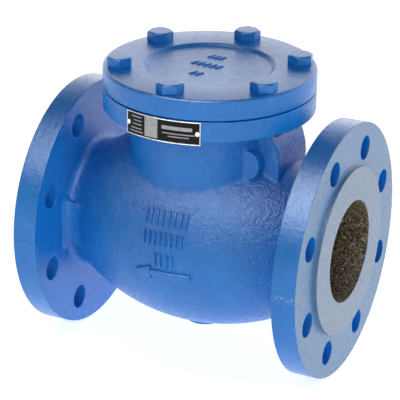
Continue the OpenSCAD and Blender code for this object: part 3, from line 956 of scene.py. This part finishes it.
points, faces = hex_bolt(PLUG_TURN, PLUG_FLATS, PLUG_HEX_T, PLUG_SHANK_R, PLUG_COLLAR_T)
collar = [(0, -PLUG_COLLAR_T), (PLUG_COLLAR_R, -PLUG_COLLAR_T), (PLUG_COLLAR_R, 0), (0, 0)]
collar = lathe(rounded(collar, [0, 0.3, 0.6, 0]), 128, closed=False)
shank = [(0, PLUG_END), (PLUG_SHANK_R, PLUG_END), (PLUG_SHANK_R, -PLUG_COLLAR_T), (0, -PLUG_COLLAR_T)]
shank = lathe(shank, 96, closed=False)
points, faces = merged([(points, faces), collar, shank])
points = turned(points, "y", (PIN_X, BOSS_HALF + PLUG_GASKET_T + PLUG_COLLAR_T, PIN_Z))
finish_piece(new_piece("hex_plug", points, faces, 28), "pin_plug", "housing", ENAMEL_BOLT)
washer_r = PLUG_SHANK_R + 0.1
washer = [(washer_r, 0), (PLUG_COLLAR_R, 0), (PLUG_COLLAR_R, PLUG_GASKET_T), (washer_r, PLUG_GASKET_T)]
turned_piece("plug_washer", washer, [0, 0.3, 0.3, 0], "y", (PIN_X, BOSS_HALF, PIN_Z),
             "pin_plug_gasket", "housing", COPPER)

# ---- carried-over CAD nodes ----------------------------------------------------------------------

for node, material in {
    "cover_gasket": GASKET, "bush_front": BRONZE, "bush_rear": BRONZE, "hinge_arm": IRON, "hinge_pin": STEEL,
    "disc_washer": STEEL, "disc_nut": BRONZE, "disc_split_pin": STEEL,
}.items():
    mesh = NODES[node].data
    mesh.materials.clear()
    mesh.materials.append(material)
    mesh.shade_smooth()
    mesh.set_sharp_from_angle(angle=math.radians(30))

# ---- floor, light and camera ---------------------------------------------------------------------

scene = bpy.context.scene
FLOOR_Z = CAD_BOX[0].z
FLOOR_HALF = 6.0
floor_mesh = bpy.data.meshes.new("floor")
floor_corners = [(x * FLOOR_HALF, y * FLOOR_HALF, FLOOR_Z) for x, y in ((-1, -1), (1, -1), (1, 1), (-1, 1))]
floor_mesh.from_pydata(floor_corners, [], [(0, 1, 2, 3)])
floor = bpy.data.objects.new("floor", floor_mesh)
scene.collection.objects.link(floor)
floor_nodes = Nodes("floor_paper")
floor_nodes.set(Base_Color=(0.90, 0.90, 0.90, 1), Roughness=0.9)
floor_nodes.set(Emission_Color=(1, 1, 1, 1), Emission_Strength=0.72)
floor_mesh.materials.append(floor_nodes.material)


def area_light(name, place, target, size, power, gloss_only=False):
    """A soft square light at place, facing target. A gloss_only one shows in highlights only."""
    data = bpy.data.lights.new(name, "AREA")
    data.shape = "SQUARE"
    data.size = size
    data.energy = power
    light = bpy.data.objects.new(name, data)
    light.location = place
    light.rotation_euler = (Vector(target) - Vector(place)).to_track_quat("-Z", "Y").to_euler()
    light.visible_diffuse = not gloss_only
    scene.collection.objects.link(light)


centre = (CAD_BOX[0] + CAD_BOX[1]) / 2
area_light("softbox", (-0.30, -1.00, 1.70), centre, 1.7, 84, gloss_only=True)
area_light("front", (0.30, -1.60, 1.40), centre, 1.0, 7)
area_light("side", (1.7, -0.9, 1.3), centre, 0.9, 7)

world = bpy.data.worlds.new("studio")
scene.world = world
world.use_nodes = True
tree = world.node_tree
background = tree.nodes["Background"]
background.inputs["Color"].default_value = (1, 1, 1, 1)
direction = tree.nodes.new("ShaderNodeSeparateXYZ")
tree.links.new(tree.nodes.new("ShaderNodeTexCoord").outputs["Generated"], direction.inputs[0])


def world_ramp(value, low, high, to_low, to_high):
    """A smooth step of the world's light over one direction."""
    node = tree.nodes.new("ShaderNodeMapRange")
    node.interpolation_type = "SMOOTHSTEP"
    for key, number in (("From Min", low), ("From Max", high), ("To Min", to_low), ("To Max", to_high)):
        node.inputs[key].default_value = number
    tree.links.new(value, node.inputs["Value"])
    return node.outputs["Result"]


def world_math(operation, a, b):
    """Two of the world's values, added or multiplied."""
    node = tree.nodes.new("ShaderNodeMath")
    node.operation = operation
    tree.links.new(a, node.inputs[0])
    tree.links.new(b, node.inputs[1])
    return node.outputs[0]


# white round the horizon, brighter behind the object, dim above
horizon = world_ramp(direction.outputs["Z"], 0.10, 0.30, 1.0, 0.10)
behind = world_ramp(direction.outputs["Y"], 0.15, 0.75, 0.0, 1.7)
low_down = world_ramp(direction.outputs["Z"], 0.45, 0.80, 1.0, 0.0)
light = world_math("ADD", horizon, world_math("MULTIPLY", behind, low_down))
tree.links.new(light, background.inputs["Strength"])

# the camera stands in front, to the right and above, and leans a little: how far it is turned round the
# object, looks down and leans, in degrees, and its place in metres, with x from the neck axis
CAMERA_TURN = 25.184
CAMERA_DOWN = 23.196
CAMERA_LEAN = 0.940
CAMERA_X = 0.5983
CAMERA_Y = -1.2865
CAMERA_Z = 0.6267
turn = Matrix.Rotation(math.radians(CAMERA_TURN), 4, "Z")
tilt = Matrix.Rotation(math.radians(90 - CAMERA_DOWN), 4, "X")
lean = Matrix.Rotation(math.radians(CAMERA_LEAN), 4, "Z")
camera = bpy.data.objects.new("camera", bpy.data.cameras.new("camera"))
camera.matrix_world = Matrix.Translation((CAMERA_X + MID * MM, CAMERA_Y, CAMERA_Z)) @ turn @ tilt @ lean
camera.data.sensor_width = 36
camera.data.lens = 177.1
camera.data.clip_start = 0.05
camera.data.clip_end = 50
scene.collection.objects.link(camera)
scene.camera = camera
scene.view_settings.view_transform = "Standard"
scene.view_settings.look = "None"
